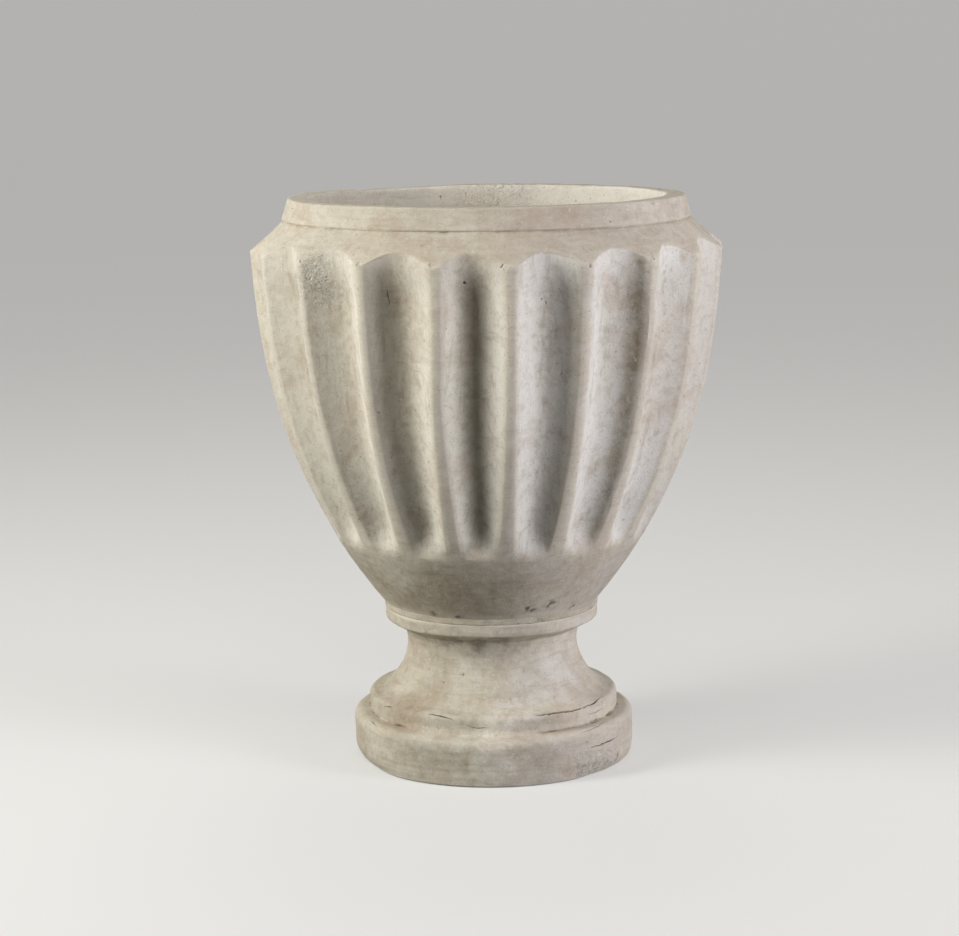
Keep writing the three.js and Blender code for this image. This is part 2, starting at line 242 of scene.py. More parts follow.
def cast_stone():
    """Off-white cast stone with a cream coat, tool drags, pale worn edges, stains, dirt and painted shade
    in the hollows, and painted light on its sides and inside the bowl's mouth.
    """
    f = Finish("cast_stone")
    marks = ("hollow", "channel", "soil", "raw", "wash_and_painted_light", "warm", "stain_and_painted_shade")
    hollow, channel, soil, raw, wash_and_painted_light, warm, stain_and_painted_shade = (f.measure(name) for name in marks)
    broad = f.cloud(5.5, 3.0, 0.5, 0.5)
    patch = f.cloud(20.0, 5.0, 0.62, 0.6)
    mottle = f.cloud(120.0, 6.0, 0.62, 0.3)
    blotch = f.cloud(52.0, 5.0, 0.65, 0.8)
    grain = f.cloud(560.0, 3.0, 0.7)
    upright = f.cloud(150.0, 4.0, 0.62, 0.0, f.stretched(1.0, 1.0, 0.12))
    level = f.cloud(190.0, 4.0, 0.62, 0.0, f.stretched(0.13, 0.13, 1.0))
    fluted = f.spread(channel, 0.02, 0.2)
    drag = f.sum("ADD", f.times(fluted, upright), f.times(f.sum("SUBTRACT", 1.0, fluted), level))

    # Painted light: side is 0 on the left half and 1 on the right. The left half is tinted yellower and
    # its pale coat warmer, and the right half's coat is cooler, as the warm left lamp and the cool right
    # lamp would tint them.
    side = f.spread(f.node("ShaderNodeSeparateXYZ", {0: f.place}), -0.03, 0.05)
    colour = f.blend(f.spread(broad, 0.42, 0.58), tone(217, 206, 189), tone(209, 199, 187))
    colour = f.blend(f.sum("SUBTRACT", 0.5, f.times(side, 0.5)), colour, tone(214, 208, 190))
    side_lit_wash = f.blend(side, tone(233, 227, 213), tone(235, 231, 224))
    # Paler where this mark lies: a cream coat in the flutes, rubbed patches on the foot, and painted light
    # inside the bowl's mouth.
    colour = f.blend(wash_and_painted_light, colour, side_lit_wash)
    for pattern, low, high, most, tint in (
        (patch, 0.50, 0.66, 0.45, tone(203, 184, 165)),
        (patch, 0.48, 0.36, 0.35, tone(224, 217, 204)),
        (blotch, 0.52, 0.64, 0.24, tone(184, 171, 152)),
        (blotch, 0.47, 0.36, 0.28, tone(231, 226, 216)),
        (mottle, 0.50, 0.66, 0.26, tone(180, 169, 149)),
        (mottle, 0.47, 0.36, 0.25, tone(227, 221, 209)),
        (drag, 0.54, 0.68, 0.3, tone(174, 162, 142)),
        (drag, 0.46, 0.33, 0.3, tone(230, 224, 212)),
    ):
        colour = f.laid(colour, pattern, low, high, most, tint)
    beige = f.times(warm, f.spread(patch, 0.36, 0.56, 0.25, 1.0))
    colour = f.blend(f.times(beige, 0.5), colour, tone(196, 174, 154))
    # Browner where this mark lies: real stains, and painted shade on the bowl's lower belly (most on its
    # left half), on its shoulder and rim, and in its flutes.
    brown = f.times(stain_and_painted_shade, f.spread(mottle, 0.3, 0.7, 0.8, 1.2))
    colour = f.blend(brown, colour, tone(110, 95, 58))
    edge = f.times(f.spread(hollow, -0.1, -0.8), f.spread(mottle, 0.35, 0.6, 0.4, 1.0))
    colour = f.blend(f.times(edge, 0.45), colour, tone(231, 224, 210))

    # Darker in the hollows, broken up by the mottle: painted shade in the hollows, with dirt.
    ragged = f.times(f.spread(hollow, 0.15, 1.0), f.spread(mottle, 0.3, 0.65, 0.35, 1.1))
    colour = f.blend(f.times(ragged, 0.45), colour, tone(142, 127, 102))
    # Darker and browner down the deepest middles of the flutes: painted shade, with dirt.
    depths = f.times(f.spread(channel, 0.7, 1.0), f.spread(upright, 0.35, 0.65, 0.5, 1.0))
    colour = f.blend(f.times(depths, 0.18), colour, tone(150, 137, 108))
    dusty = f.times(soil, f.spread(mottle, 0.3, 0.62, 0.55, 1.3))
    colour = f.laid(colour, dusty, 0.05, 1.0, 0.85, tone(100, 86, 64))

    speck = f.spread(f.cloud(230.0, 2.0, 0.5), 0.69, 0.76, 0.0, 0.55)
    colour = f.blend(f.times(speck, f.spread(patch, 0.35, 0.6, 0.4, 1.0)), colour, tone(128, 114, 90))
    colour = f.laid(colour, grain, 0.54, 0.72, 0.42, tone(150, 139, 118))
    colour = f.laid(colour, f.cloud(330.0, 3.0, 0.7), 0.60, 0.72, 0.5, tone(238, 233, 221))

    gravel = f.cloud(210.0, 4.0, 0.75, 1.0)
    colour = f.blend(f.times(raw, f.spread(gravel, 0.55, 0.66, 0.0, 0.55)), colour, tone(140, 126, 102))
    colour = f.blend(f.times(raw, f.spread(gravel, 0.45, 0.34, 0.0, 0.5)), colour, tone(236, 230, 216))
    bump = f.relief(f.cloud(42.0, 5.0, 0.6), 0.0016, 0.5)
    bump = f.relief(drag, 0.0005, 0.5, bump)
    bump = f.relief(mottle, 0.0008, 0.45, bump)
    bump = f.relief(grain, 0.0006, 0.5, bump)
    bump = f.relief(gravel, f.times(raw, 0.0035), 0.8, bump)
    rough = f.spread(mottle, 0.3, 0.7, 0.82, 0.96)
    return f.set(Base_Color=colour, Roughness=rough, Specular_IOR_Level=0.3, Normal=bump)


def mortar():
    """Pale mortar with sand in it, close to the stone in colour, brown where the weather has got at it."""
    f = Finish("mortar")
    sand = f.cloud(700.0, 3.0, 0.8)
    ragged = f.cloud(110.0, 6.0, 0.7)
    colour = f.blend(f.spread(f.cloud(60.0), 0.35, 0.65), tone(208, 198, 180), tone(190, 179, 160))
    colour = f.laid(colour, ragged, 0.54, 0.66, 0.5, tone(132, 118, 94))
    colour = f.laid(colour, sand, 0.56, 0.7, 0.4, tone(214, 204, 184))
    bump = f.relief(sand, 0.0008, 0.9, f.relief(ragged, 0.0012, 0.6))
    rough = f.spread(sand, 0.3, 0.7, 0.85, 1.0)
    return f.set(Base_Color=colour, Roughness=rough, Specular_IOR_Level=0.3, Normal=bump)


def steel():
    """Zinc-plated steel, dulled, with rust where water sits."""
    f = Finish("dulled_steel")
    spangle = f.cells(240.0)
    rust = f.spread(f.cloud(85.0, 6.0, 0.7), 0.55, 0.66)
    colour = f.blend(f.spread(spangle, 0.1, 0.7), tone(188, 189, 188), tone(160, 162, 163))
    colour = f.blend(f.times(rust, 0.85), colour, tone(118, 74, 44))
    rough = f.sum("ADD", f.spread(f.cloud(300.0), 0.3, 0.7, 0.32, 0.48), f.times(rust, 0.4))
    bump = f.relief(f.cloud(500.0, 4.0, 0.7), 0.0004, f.sum("ADD", f.times(rust, 0.6), 0.15))
    return f.set(Base_Color=colour, Metallic=f.sum("SUBTRACT", 1.0, rust), Roughness=rough, Normal=bump)


def rubber():
    """Matt black rubber with a dusty bloom."""
    f = Finish("rubber")
    bloom = f.cloud(130.0, 4.0, 0.6)
    colour = f.blend(f.spread(bloom, 0.4, 0.75), tone(34, 33, 32), tone(66, 64, 60))
    rough = f.spread(bloom, 0.3, 0.7, 0.6, 0.85)
    return f.set(Base_Color=colour, Roughness=rough, Normal=f.relief(f.cloud(900.0), 0.0003, 0.5))


STONE, MORTAR, STEEL, RUBBER = cast_stone(), mortar(), steel(), rubber()


# Rules for the fluted bowl, worked out by Math nodes


def sign(operation, swapped=False):
    """What a sign between two rules does: it adds the Math node of that operation."""

    def method(self, other):
        return Rule.worked(operation, *((other, self) if swapped else (self, other)))

    return method


class Rule:
    """A number in a node tree. Sums and products of rules add Math nodes to the tree."""

    tree = None

    def __init__(self, socket):
        self.socket = socket

    @classmethod
    def worked(cls, operation, *terms):
        inputs = {k: socket_of(term) for k, term in enumerate(terms)}
        return Rule(add_node(cls.tree, "ShaderNodeMath", inputs, operation=operation))

    __add__ = __radd__ = sign("ADD")
    __sub__ = sign("SUBTRACT")
    __rsub__ = sign("SUBTRACT", True)
    __mul__ = __rmul__ = sign("MULTIPLY")
    __truediv__ = sign("DIVIDE")
    __pow__ = sign("POWER")


def socket_of(value):
    return value.socket if isinstance(value, Rule) else value


def above_zero(value):
    return Rule.worked("MAXIMUM", value, 0.0)


def held(value):
    """A rule or numbers, held between 0 and 1."""
    if isinstance(value, Rule):
        return above_zero(Rule.worked("MINIMUM", value, 1.0))
    return np.clip(value, 0, 1)


def root(value):
    return Rule.worked("SQRT", above_zero(value))


def between(first, last, share):
    return first + (last - first) * share


def eased(share):
    return share * share * (3.0 - 2.0 * share)


def belly_radius(z):
    rise = held((z - BOWL_BASE) / BELLY_HEIGHT)
    swell = 1.0 - (1.0 - rise) ** BELLY_POWER
    return BASE_RADIUS + (NOSE_RADIUS - BASE_RADIUS) * (BELLY_TAPER * rise + (1 - BELLY_TAPER) * swell)


def shoulder_radius(z):
    rise = (z - NOSE_LEVEL) / SHOULDER_HEIGHT
    return NOSE_RADIUS - SHOULDER_RUN * (rise + SHOULDER_SAG * rise * (1.0 - rise))


def shoulder_level(depth):
    """The height at which the shoulder has drawn in by depth."""
    full = 1 + SHOULDER_SAG
    drawn = root(full * full - 4 * SHOULDER_SAG / SHOULDER_RUN * depth)
    return NOSE_LEVEL + SHOULDER_HEIGHT / (2 * SHOULDER_SAG) * (full - drawn)


def inside_radius(z):
    taper = MOUTH_RADIUS - MOUTH_TAPER * (RIM_TOP - z)
    return Rule.worked("MINIMUM", taper, belly_radius(z) - WALL)


def bowl_legs(across, size):
    """A rule for each leg of the bowl's outline, from the rod hole out, up and back inside.
    across is -1 to 1 over a flute."""
    square = across * across
    arch = held(1.0 - square)
    stop = size["Flute end top"] - size["Flute end length"]
    crest = shoulder_level(size["Crest depth"] * arch ** size["Section power"])

    def fluted(q):
        z = between(stop, crest, q * (1 - ROW_CROWDING) + eased(q) * ROW_CROWDING)
        below = above_zero((size["Flute end top"] - z) / size["Flute end length"])
        out = eased(held((z - (NOSE_LEVEL - size["Crest length"])) / size["Crest length"]))
        scoop = (arch * held(1.0 - below * below)) ** size["Section power"]
        deepened = held((z - FLUTE_DEEPENS) * FLUTE_DEEPENING)
        depth = between(size["Low depth"], size["Flute depth"], deepened)
        return belly_radius(z) - scoop * between(depth, size["Crest depth"], out), z

    def on(rule, first, last):
        return lambda q: (rule(between(first, last, q)), between(first, last, q))

    def straight(first, last):
        return lambda q: (between(first[0], last[0], q), between(first[1], last[1], q))

    def rounded(r, z, radius, first, last):
        def rule(q):
            turn = between(math.radians(first), math.radians(last), q)
            return r + radius * Rule.worked("COSINE", turn), z + radius * Rule.worked("SINE", turn)

        return rule

    ledge = BOWL_BASE + SMALL_EDGE
    underside = [
        (ROD_HOLE_RADIUS, SPIGOT_LEVEL),
        (SPIGOT_RADIUS - SMALL_EDGE, SPIGOT_LEVEL),
        (SPIGOT_RADIUS, SPIGOT_LEVEL + SMALL_EDGE),
        (SPIGOT_RADIUS, BOWL_BASE),
        (BASE_RADIUS - BASE_EDGE, BOWL_BASE),
        (BASE_RADIUS + BASE_SWELL, ledge),
    ]
    band = (RIM_BASE_RADIUS, RIM_BASE + RIM_STEP)
    lip = RIM_TOP_RADIUS - LIP_ROUND
    inner = MOUTH_RADIUS + MOUTH_ROUND
    corner_level = FLOOR_LEVEL + FLOOR_CORNER
    corner = float(belly_radius(corner_level)) - WALL - FLOOR_CORNER
    return [
        *[straight(a, b) for a, b in zip(underside, underside[1:])],
        on(belly_radius, ledge, stop),
        fluted,
        on(shoulder_radius, crest, RIM_BASE),
        straight((NOSE_RADIUS - SHOULDER_RUN, RIM_BASE), band),
        straight(band, (RIM_TOP_RADIUS, RIM_TOP - LIP_ROUND)),
        rounded(lip, RIM_TOP - LIP_ROUND, LIP_ROUND, 0, 90),
        straight((lip, RIM_TOP), (inner, RIM_TOP)),
        rounded(inner, RIM_TOP - MOUTH_ROUND, MOUTH_ROUND, 90, 180),
        on(inside_radius, RIM_TOP - MOUTH_ROUND, RIM_TOP - MOUTH_DEPTH),
        on(inside_radius, RIM_TOP - MOUTH_DEPTH, corner_level),
        rounded(corner, corner_level, FLOOR_CORNER, 0, -90),
        straight((corner, FLOOR_LEVEL), (ROD_HOLE_RADIUS, FLOOR_LEVEL)),
        straight((ROD_HOLE_RADIUS, FLOOR_LEVEL), underside[0]),
    ]


BOWL_SIZES = {
    "Flute turn": math.radians(5.3),
    "Flute depth": 0.0213,
    "Low depth": 0.0135,
    "Crest depth": 0.0155,
    "Crest length": 0.040,
    "Flute end top": 0.270,
    "Flute end length": 0.039,
    "Arris width": 0.0068,
    "Arris spread": 0.0055,
    "Section power": 1.15,
    "Drains": 4,
    "Drain ring radius": 0.036,
    "Drain radius": 0.006,
    "Hand run": 0.0012,
    "Hand spacing": math.radians(0.35),
    "Seed": 4,
}


def bowl_tree():
    """The tree that makes the bowl: a sheet bent round by the rules, closed, drained and made uneven."""
    tree = bpy.data.node_groups.new("fluted_bowl", "GeometryNodeTree")
    Rule.tree = tree
    for way in ("INPUT", "OUTPUT"):
        tree.interface.new_socket("Geometry", in_out=way, socket_type="NodeSocketGeometry")
    for name, value in BOWL_SIZES.items():
        kind = "NodeSocketInt" if isinstance(value, int) else "NodeSocketFloat"
        tree.interface.new_socket(name, in_out="INPUT", socket_type=kind)
    given = add_node(tree, "NodeGroupInput", output=None)
    size = {name: Rule(given[name]) for name in BOWL_SIZES}

    def node(kind, inputs=(), output=0, **settings):
        inputs = {name: socket_of(value) for name, value in dict(inputs).items()}
        return add_node(tree, kind, inputs, output, **settings)

    def stray(number):
        """A small turn of its own for each arris."""
        inputs = {"ID": Rule.worked("FLOORED_MODULO", number, float(FLUTES)), "Seed": size["Seed"]}
        made = Rule(node("FunctionNodeRandomValue", inputs, 1, data_type="FLOAT"))
        return (made * 2.0 - 1.0) * size["Hand spacing"]

    index = Rule(node("GeometryNodeInputIndex"))
    rows = sum(BOWL_ROWS)
    columns = FLUTES * COLUMNS_PER_FLUTE
    column = Rule.worked("FLOOR", (index + 0.5) / (rows + 1.0))
    row = index - column * (rows + 1.0)
    flute = Rule.worked("FLOOR", (column + 0.5) / COLUMNS_PER_FLUTE)
    step = column - flute * COLUMNS_PER_FLUTE
    even = held((step - 1.0) / (COLUMNS_PER_FLUTE - 2.0))
    crowded = COLUMN_CROWDING * Rule.worked("COSINE", even * math.pi)
    across = 0.0 - crowded - (1 - COLUMN_CROWDING) * (1.0 - 2.0 * even)
    radius, height, start = None, None, 0
    for count, rule in zip(BOWL_ROWS, bowl_legs(across, size)):
        r, z = rule(held((row - float(start)) / count))
        if start:
            passed = Rule.worked("GREATER_THAN", row, start - 0.5)
            radius, height = between(radius, r, passed), between(height, z, passed)
        else:
            radius, height = Rule.worked("ADD", r, 0.0), Rule.worked("ADD", z, 0.0)
        start += count
    half = math.pi / FLUTES
    lower = held((ARRIS_SPREAD_LEVEL - height) * (1 / ARRIS_SPREAD_RUN))
    arris = size["Arris width"] + size["Arris spread"] * lower * lower
    scoop = across * (half - arris * 0.5 / belly_radius(height))
    inside_scoop = Rule.worked("GREATER_THAN", step, 0.5)
    turn = size["Flute turn"] + flute * (2 * half) + inside_scoop * (half + scoop)
    turn = turn + between(stray(flute), stray(flute + 1.0), (across + 1.0) * 0.5 * inside_scoop)
    x = radius * Rule.worked("SINE", turn)
    y = 0.0 - radius * Rule.worked("COSINE", turn)
    sheet = node("GeometryNodeMeshGrid", {"Vertices X": columns + 1, "Vertices Y": rows + 1})
    place = node("ShaderNodeCombineXYZ", {0: x, 1: y, 2: height})
    bent = node("GeometryNodeSetPosition", {"Geometry": sheet, "Position": place})
    shell = node("GeometryNodeMergeByDistance", {"Geometry": bent, "Distance": DOUBLED})
    spread = {"Vertices": size["Drains"], "Radius": size["Drain ring radius"]}
    ring = node("GeometryNodeMeshCircle", spread)
    seated = {"Rotation": (0, 0, math.pi / 4), "Translation": (0, 0, (SPIGOT_LEVEL + FLOOR_LEVEL) / 2)}
    ring = node("GeometryNodeTransform", {"Geometry": ring, **seated})
    pin = node("GeometryNodeMeshCylinder", {"Vertices": 24, "Radius": size["Drain radius"], "Depth": 0.09})
    pins = node("GeometryNodeInstanceOnPoints", {"Points": ring, "Instance": pin})
    pins = node("GeometryNodeRealizeInstances", {"Geometry": pins})
    drained = {"Mesh 1": shell, "Mesh 2": pins}
    shell = node("GeometryNodeMeshBoolean", drained, operation="DIFFERENCE", solver="MANIFOLD")
    position = node("GeometryNodeInputPosition")
    x, y, z = (Rule(part) for part in node("ShaderNodeSeparateXYZ", {0: position}, None))
    out = root(x * x + y * y)
    along = node("GeometryNodeInputNormal")

    def swell(scale, detail):
        """Soft lumps over the bowl, from -0.5 to 0.5."""
        inputs = {"Vector": position, "W": size["Seed"], "Scale": scale, "Detail": detail}
        return Rule(node("ShaderNodeTexNoise", inputs, noise_dimensions="4D")) - 0.5

    shown = held((z - BOWL_BASE - 0.002) * 400.0) * held((out - 0.09) * 100.0)
    push = (swell(11.0, 2.0) * 2.0 + swell(55.0, 3.0)) * size["Hand run"] * shown
    offset = node("ShaderNodeVectorMath", {0: along, "Scale": push}, operation="SCALE")
    shell = node("GeometryNodeSetPosition", {"Geometry": shell, "Offset": offset})
    shell = node("GeometryNodeSetShadeSmooth", {"Geometry": shell})
    shell = node("GeometryNodeRealizeInstances", {"Geometry": shell})
    shell = node("GeometryNodeSetMaterial", {"Geometry": shell, "Material": STONE})
    tree.links.new(shell, tree.nodes.new("NodeGroupOutput").inputs[0])
    return tree


def made_by(tree, sizes, name):
    """Runs a tree on an empty piece and returns the result as a plain mesh object."""
    piece = placed(name, bpy.data.meshes.new(name))
    modifier = piece.modifiers.new("form", "NODES")
    modifier.node_group = tree
    for item in tree.interface.items_tree:
        if item.in_out == "INPUT" and item.name in sizes:
            modifier[item.identifier] = sizes[item.name]
    bpy.context.view_layer.update()
    settle(piece)
    piece.data.materials.clear()
    piece.data.materials.append(STONE)
    piece.data.polygons.foreach_set("material_index", [0] * len(piece.data.polygons))
    return piece


def settle(piece):
    """Turns what the piece's modifiers make into its plain mesh."""
    shown = piece.evaluated_get(bpy.context.evaluated_depsgraph_get())
    mesh = bpy.data.meshes.new_from_object(shown)
    piece.modifiers.clear()
    piece.data = mesh


# Turned and worked pieces


def arc(r, z, radius, first, last, steps):
    turns = np.radians(np.linspace(first, last, steps + 1))
    return [(r + radius * math.cos(t), z + radius * math.sin(t)) for t in turns]


def curve(points, steps):
    """Points along the curve that these control points pull."""
    made = []
    for t in np.linspace(0, 1, steps + 1):
        row = [np.array(p, float) for p in points]
        while len(row) > 1:
            row = [a * (1 - t) + b * t for a, b in zip(row, row[1:])]
        made.append(tuple(row[0]))
    return made


def spaced(outline, step):
    """The outline with points added, so that none of its sides is longer than step(side's middle)."""
    made = []
    for a, b in zip(outline, outline[1:]):
        a, b = np.array(a), np.array(b)
        count = max(1, math.ceil(np.linalg.norm(b - a) / step((a + b) / 2)))
        made += [tuple(a + (b - a) * k / count) for k in range(count)]
    return made + [tuple(outline[-1])]


def object_of(name, places, faces, finish):
    mesh = bpy.data.meshes.new(name)
    mesh.from_pydata(np.asarray(places).tolist(), [], faces)
    close_up(mesh)
    mesh.materials.append(finish)
    return placed(name, mesh)


def close_up(mesh):
    """Joins doubled corners, turns the faces outwards and shades them smooth."""
    work = bmesh.new()
    work.from_mesh(mesh)
    bmesh.ops.remove_doubles(work, verts=work.verts, dist=DOUBLED)
    bmesh.ops.dissolve_degenerate(work, edges=work.edges, dist=DOUBLED / 2)
    bmesh.ops.recalc_face_normals(work, faces=work.faces)
    if work.calc_volume(signed=True) < 0:
        bmesh.ops.reverse_faces(work, faces=work.faces)
    work.to_mesh(mesh)
    work.free()
    smooth(mesh)


def smooth(mesh, sharp=None):
    """Shades all faces smooth, apart from edges that turn by more than sharp degrees."""
    mesh.polygons.foreach_set("use_smooth", [True] * len(mesh.polygons))
    if sharp:
        mesh.set_sharp_from_angle(angle=math.radians(sharp))


def turned(name, outline, columns, finish, shape=None):
    """A closed outline of radius and height, turned about the axis. shape moves its corners."""
    ring = np.array(outline)
    turns = np.linspace(0, 2 * math.pi, columns, endpoint=False)
    angle, radius = np.meshgrid(turns, ring[:, 0], indexing="ij")
    height = np.meshgrid(turns, ring[:, 1], indexing="ij")[1]
    if shape:
        radius, height = shape(angle, radius, height)
    places = np.stack([radius * np.sin(angle), -radius * np.cos(angle), height], -1).reshape(-1, 3)
    count = len(ring)
    c, r = np.meshgrid(np.arange(columns), np.arange(count), indexing="ij")
    d, s = (c + 1) % columns, (r + 1) % count
    quads = np.stack([c * count + r, d * count + r, d * count + s, c * count + s], -1).reshape(-1, 4)
    return object_of(name, places, quads.tolist(), finish)


def wander(places, length, seed, draw=(1, 1, 1)):
    """Smooth random numbers, from about -1 to 1, that change over that length."""
    shift = Vector((seed * 17.3, seed * 5.1, seed * 9.7))
    return np.array([noise.noise(Vector(p) + shift) for p in np.asarray(places) / length * draw])


def patches(places, length, seed, low, high):
    """0 to 1 in soft patches of about that length, where wander goes from low to high."""
    return step_up(wander(places, length, seed), low, high)


def corners(piece):
    flat = np.zeros(len(piece.data.vertices) * 3)
    piece.data.vertices.foreach_get("co", flat)
    return flat.reshape(-1, 3)


def outward(piece):
    flat = np.zeros(len(piece.data.vertices) * 3, np.float32)
    piece.data.vertex_normals.foreach_get("vector", flat)
    return flat.reshape(-1, 3).astype(float)


def move(piece, places):
    piece.data.vertices.foreach_set("co", places.astype(np.float32).ravel())
    piece.data.update()


def hollows(piece, rounds):
    """How far each corner lies below its surroundings: above 0 in a hollow, below 0 on an edge."""
    start = corners(piece)
    pairs = np.zeros(len(piece.data.edges) * 2, np.int64)
    piece.data.edges.foreach_get("vertices", pairs)
    a, b = pairs.reshape(-1, 2).T
    joined = np.bincount(np.r_[a, b], minlength=len(start))[:, None]
    now = start.copy()
    for _ in range(rounds):
        sums = [np.bincount(np.r_[a, b], np.r_[now[b, k], now[a, k]], len(start)) for k in range(3)]
        now = (now + np.stack(sums, 1) / joined) / 2
    return ((now - start) * outward(piece)).sum(1)


def step_up(values, low, high):
    return eased(held((values - low) / (high - low)))


def around(places):
    """Each place's distance from the axis, level and turn in degrees from the front."""
    turn = np.degrees(np.arctan2(places[:, 0], -places[:, 1]))
    return np.hypot(places[:, 0], places[:, 1]), places[:, 2], turn


def weather(piece, rounds, worn, filled, seed, shown=1.0):
    """Wears the edges down and fills the hollows by shares of their depth, more here and less there."""
    depth = hollows(piece, rounds)
    places = corners(piece)
    share = held(0.6 + 1.2 * wander(places, 0.03, seed)) * shown
    move(piece, places + outward(piece) * (np.where(depth < 0, worn, filled) * depth * share)[:, None])


def seat(turn, radius, level):
    """A place given by degrees round the axis from the front, a radius and a level in millimetres."""
    angle = math.radians(turn)
    return Vector((radius * math.sin(angle), -radius * math.cos(angle), level)) * MM


def near(places, turn, radius, level, size):
    """1 at a place, falling to 0 about size away from it, in millimetres."""
    gap = np.linalg.norm(places - np.array(seat(turn, radius, level)), axis=1) / (size * MM)
    return np.exp(-(gap * 1.6) ** 2)


def spots(places, listing, start=0.0):
    """The sum of near for each spot of the list, on top of start."""
    return sum((near(places, *spot) for spot in listing), start)


class Chisel:
    """Cracks, pits and chips for one casting, gathered into one cutter and taken out of it together."""

    def __init__(self, piece, seed):
        self.piece = piece
        self.draw = np.random.default_rng(seed)
        self.work = bmesh.new()
        self.taken = []
        self.skin = bvhtree.BVHTree.FromObject(piece, bpy.context.evaluated_depsgraph_get())

    def crack(self, width, depth, *stops):
        """A ragged blade along stops on the skin. Widths and depths are in millimetres."""
        path = []
        stops = [seat(*stop) for stop in stops]
        for a, b in zip(stops, stops[1:]):
            count = max(1, round((b - a).length / (2.2 * MM)))
            path += [a.lerp(b, k / count) for k in range(count)]
        seats = [self.skin.find_nearest(place)[:2] for place in path + stops[-1:]]
        rows, drift = [], 0.0
        for k, (place, way) in enumerate(seats):
            ahead = seats[min(k + 1, len(seats) - 1)][0] - seats[max(k - 1, 0)][0]
            side = way.cross(ahead).normalized()
            share = math.sin(math.pi * (k + 0.7) / (len(seats) + 0.4)) ** 0.5
            half = width / 2 * MM * share * self.draw.uniform(0.7, 1.4)
            drift = 0.75 * drift + self.draw.normal(0, 0.16 * width)
            middle = place + side * drift * MM
            over = middle + way * 0.5 * MM
            foot = middle - way * depth * MM * share
            rows.append([self.work.verts.new(p) for p in (over + side * half, over - side * half, foot)])
            self.taken.append((place, 3 * MM))
        for low, high in zip(rows, rows[1:]):
            for k in range(3):
                m = (k + 1) % 3
                self.work.faces.new((low[k], low[m], high[m], high[k]))
        self.work.faces.new(rows[0])
        self.work.faces.new(rows[-1])

    def pit(self, place, way, size, depth, upright=1.0):
        """A blunt hollow, unless one is there already. size is its radius."""
        if any((place - other).length < room + size * 1.4 * upright * MM for other, room in self.taken):
            return
        self.taken.append((place, size * 1.4 * upright * MM))
        ball = bmesh.ops.create_icosphere(self.work, subdivisions=2, radius=size * MM)["verts"]
        middle = place + way * (size - depth) * MM
        for corner in ball:
            corner.co *= self.draw.uniform(0.8, 1.2)
            corner.co.z *= upright
            corner.co += middle

    def pit_at(self, stop, size, depth, upright=1.0):
        place, way = self.skin.find_nearest(seat(*stop))[:2]
        self.pit(place, way, size, depth, upright)

    def scatter(self, count, places, ways, chance, smallest, largest):
        """Pits at random corners of the casting, more where chance is greater, mostly small."""
        chosen = self.draw.choice(len(places), count, replace=False, p=chance / chance.sum())
        for k in chosen:
            size = between(smallest, largest, self.draw.random() ** 3)
            self.pit(Vector(places[k]), Vector(ways[k]), size, size * self.draw.uniform(0.35, 0.9))

    def strike(self):
        """Cuts, and gives each corner of the new mesh its nearest old corner and its depth in a cut."""
        places = corners(self.piece)
        tree = kdtree.KDTree(len(places))
        for k, place in enumerate(places):
            tree.insert(place, k)
        tree.balance()
        cutter = formed("cutter", self.work, self.piece.data.materials[0])
        modifier = self.piece.modifiers.new("cut", "BOOLEAN")
        modifier.operation, modifier.solver, modifier.object = "DIFFERENCE", "MANIFOLD", cutter
        settle(self.piece)
        bpy.data.objects.remove(cutter)
        smooth(self.piece.data, 42)
        source, deep = [], []
        for place in corners(self.piece):
            _, k, gap = tree.find(place)
            source.append(k)
            deep.append(self.skin.find_nearest(place)[3] if gap > 1e-5 else 0.0)
        return np.array(source), np.array(deep)


def finish_casting(piece, chisel, marks):
    """Cuts the casting and notes its marks on its corners for the finish. Dirt lies in every cut."""
    source, deep = chisel.strike()
    marks = {name: values[source] for name, values in marks.items()}
    marks["soil"] = np.maximum(marks["soil"], step_up(deep, 0.0008, 0.0018))
    for name, values in marks.items():
        mark = piece.data.attributes.new(name, "FLOAT", "POINT")
        mark.data.foreach_set("value", values.astype(np.float32))


# The marks of age. A place is a turn in degrees from the front, a radius and a level. A spot is a place
# and its size, a crack a width, a depth and its places, a chip a place, a radius, a depth and how far it
# is drawn out upright. All but the turns are in millimetres.

